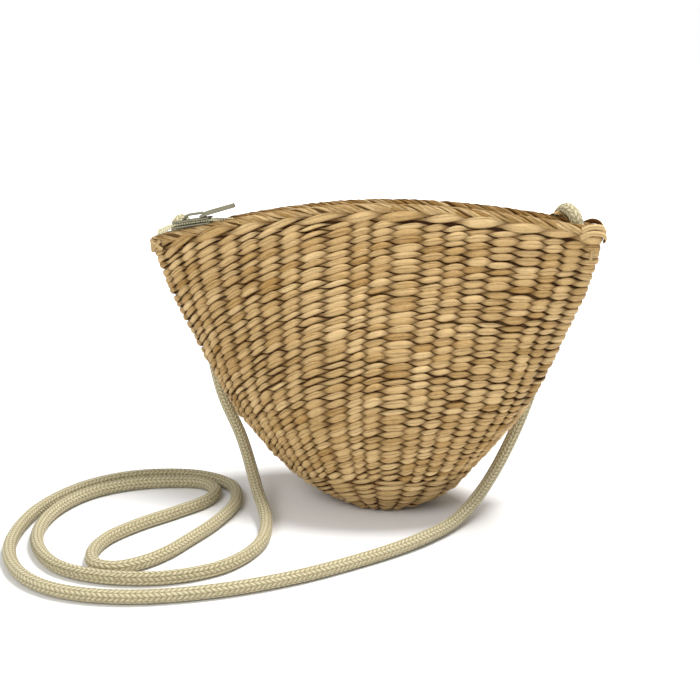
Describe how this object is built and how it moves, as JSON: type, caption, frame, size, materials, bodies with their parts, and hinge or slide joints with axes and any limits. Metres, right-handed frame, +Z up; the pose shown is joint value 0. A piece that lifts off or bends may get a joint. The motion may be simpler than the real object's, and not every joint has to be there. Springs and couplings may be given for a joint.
{
  "type": "straw basket bag",
  "caption": "Half-moon basket bag of twined straw with a zipped mouth and a long braided cord strap",
  "frame": {"origin": "on the floor under the middle of the basket's box, midway between the mouth's two corners, with the loose cord left out", "axes": "+X to the right along the mouth, seen from the front where the slider is at the left; +Y from the front to the back; +Z up"},
  "size_m": [0.3048, 0.2255, 0.1766],
  "materials": {
    "straw": "twined natural straw, matt with a slight sheen",
    "straw_border": "plaited natural straw",
    "zip_teeth": "moulded nylon coil, cream to olive",
    "zip_tape": "woven cotton tape",
    "zip_metal": "brushed, grey with an olive tinge",
    "cotton_cord": "braided cotton, cream with a green tinge"
  },
  "bodies": {
    "bag": {"basket_base": "straw", "basket_front": "straw", "basket_back": "straw", "rim_border": "straw_border", "zip_chain": "zip_teeth", "zip_tape_front": "zip_tape", "zip_tape_back": "zip_tape", "zip_slider": "zip_metal", "strap_cord": "cotton_cord", "strap_knot_left": "cotton_cord", "strap_knot_right": "cotton_cord"},
    "pull": {"zip_pull": "zip_metal"}
  },
  "joints": [
    {"name": "pull_hinge", "type": "hinge", "parent": "bag", "child": "pull", "pos_m": [-0.09563, -0.0065, 0.16325], "axis": [0, -1, 0], "range_deg": [-8, 98]}
  ]
}
